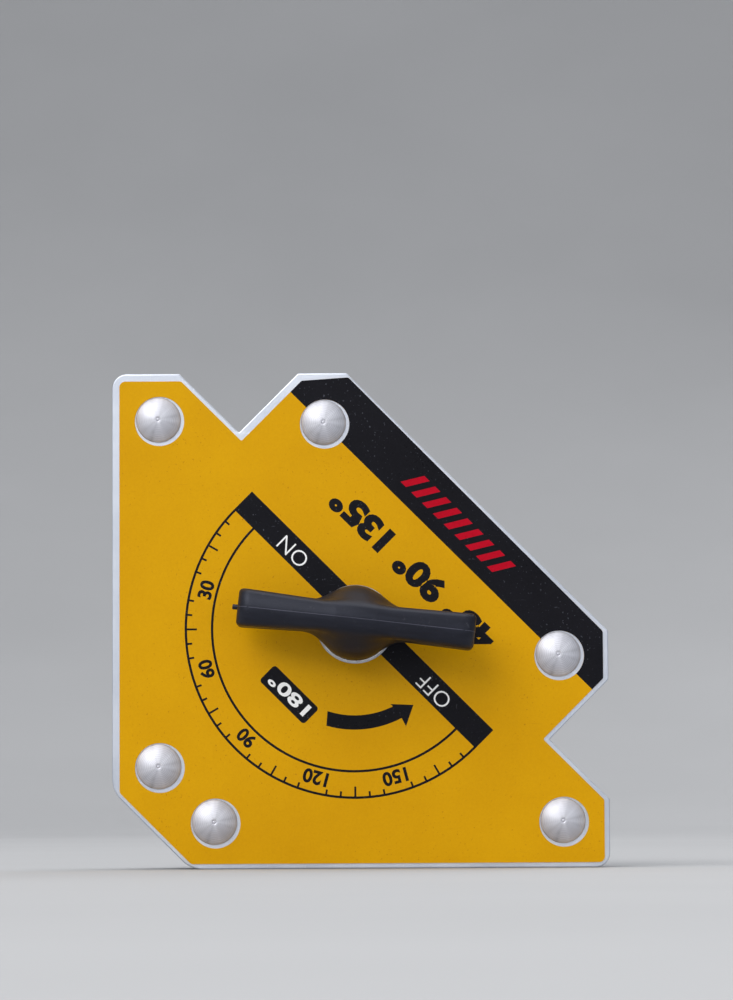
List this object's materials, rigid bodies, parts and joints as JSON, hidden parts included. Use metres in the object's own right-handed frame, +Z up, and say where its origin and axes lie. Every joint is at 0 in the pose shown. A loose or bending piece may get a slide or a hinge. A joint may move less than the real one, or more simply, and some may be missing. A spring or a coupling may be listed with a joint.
{
  "type": "switchable welding magnet holder",
  "caption": "Flat angle block with V-notches whose built-in magnet is switched on and off by turning a wing knob, for holding steel at set angles.",
  "frame": {"origin": "centre of the bounding box, at the face that the block stands on", "axes": "+Z up along the left working face, +X to the right along the base, -Y out of the knob side"},
  "size_m": [0.085, 0.0386, 0.085],
  "materials": {
    "plate_steel": "bright zinc plate over cold-rolled steel, fine scratches",
    "core_aluminium": "bead-blasted cast aluminium",
    "label_film": "semi-gloss printed film, yellow and black",
    "rivet_aluminium": "satin, turned by the heading tool",
    "soft_iron": "machined",
    "magnet_nickel": "bright nickel plate",
    "white_plastic": "smooth slippery plastic",
    "brass": "turned",
    "bright_steel": "ground",
    "black_steel": "black oxide",
    "knob_plastic": "moulded, semi-gloss, with a fine parting line"
  },
  "bodies": {
    "block": {"front_plate": "plate_steel", "rear_plate": "plate_steel", "core_housing": "core_aluminium", "dial_label": "label_film", "rivet_upper_left": "rivet_aluminium", "rivet_top": "rivet_aluminium", "rivet_right": "rivet_aluminium", "rivet_lower_right": "rivet_aluminium", "rivet_bottom": "rivet_aluminium", "rivet_left": "rivet_aluminium", "front_pole_shoe": "soft_iron", "rear_pole_shoe": "soft_iron", "fixed_magnet": "magnet_nickel", "separator_washer": "white_plastic", "front_isolating_disc": "brass", "rear_isolating_disc": "brass", "front_bush": "brass", "rear_bush": "brass", "stop_pin": "bright_steel", "detent_ball": "bright_steel", "detent_spring": "bright_steel", "detent_screw": "black_steel"},
    "rotor": {"rotor_magnet": "magnet_nickel", "rotor_carrier": "brass", "spindle": "bright_steel", "drive_pin": "bright_steel", "retaining_clip": "black_steel", "thrust_washer": "bright_steel", "knob": "knob_plastic", "knob_set_screw": "black_steel"}
  },
  "joints": [
    {"name": "switch_turn", "type": "hinge", "parent": "block", "child": "rotor", "pos_m": [-0.0008, 0, 0.0417], "axis": [0, -1, 0], "range_deg": [-38.6, 141.4]}
  ]
}
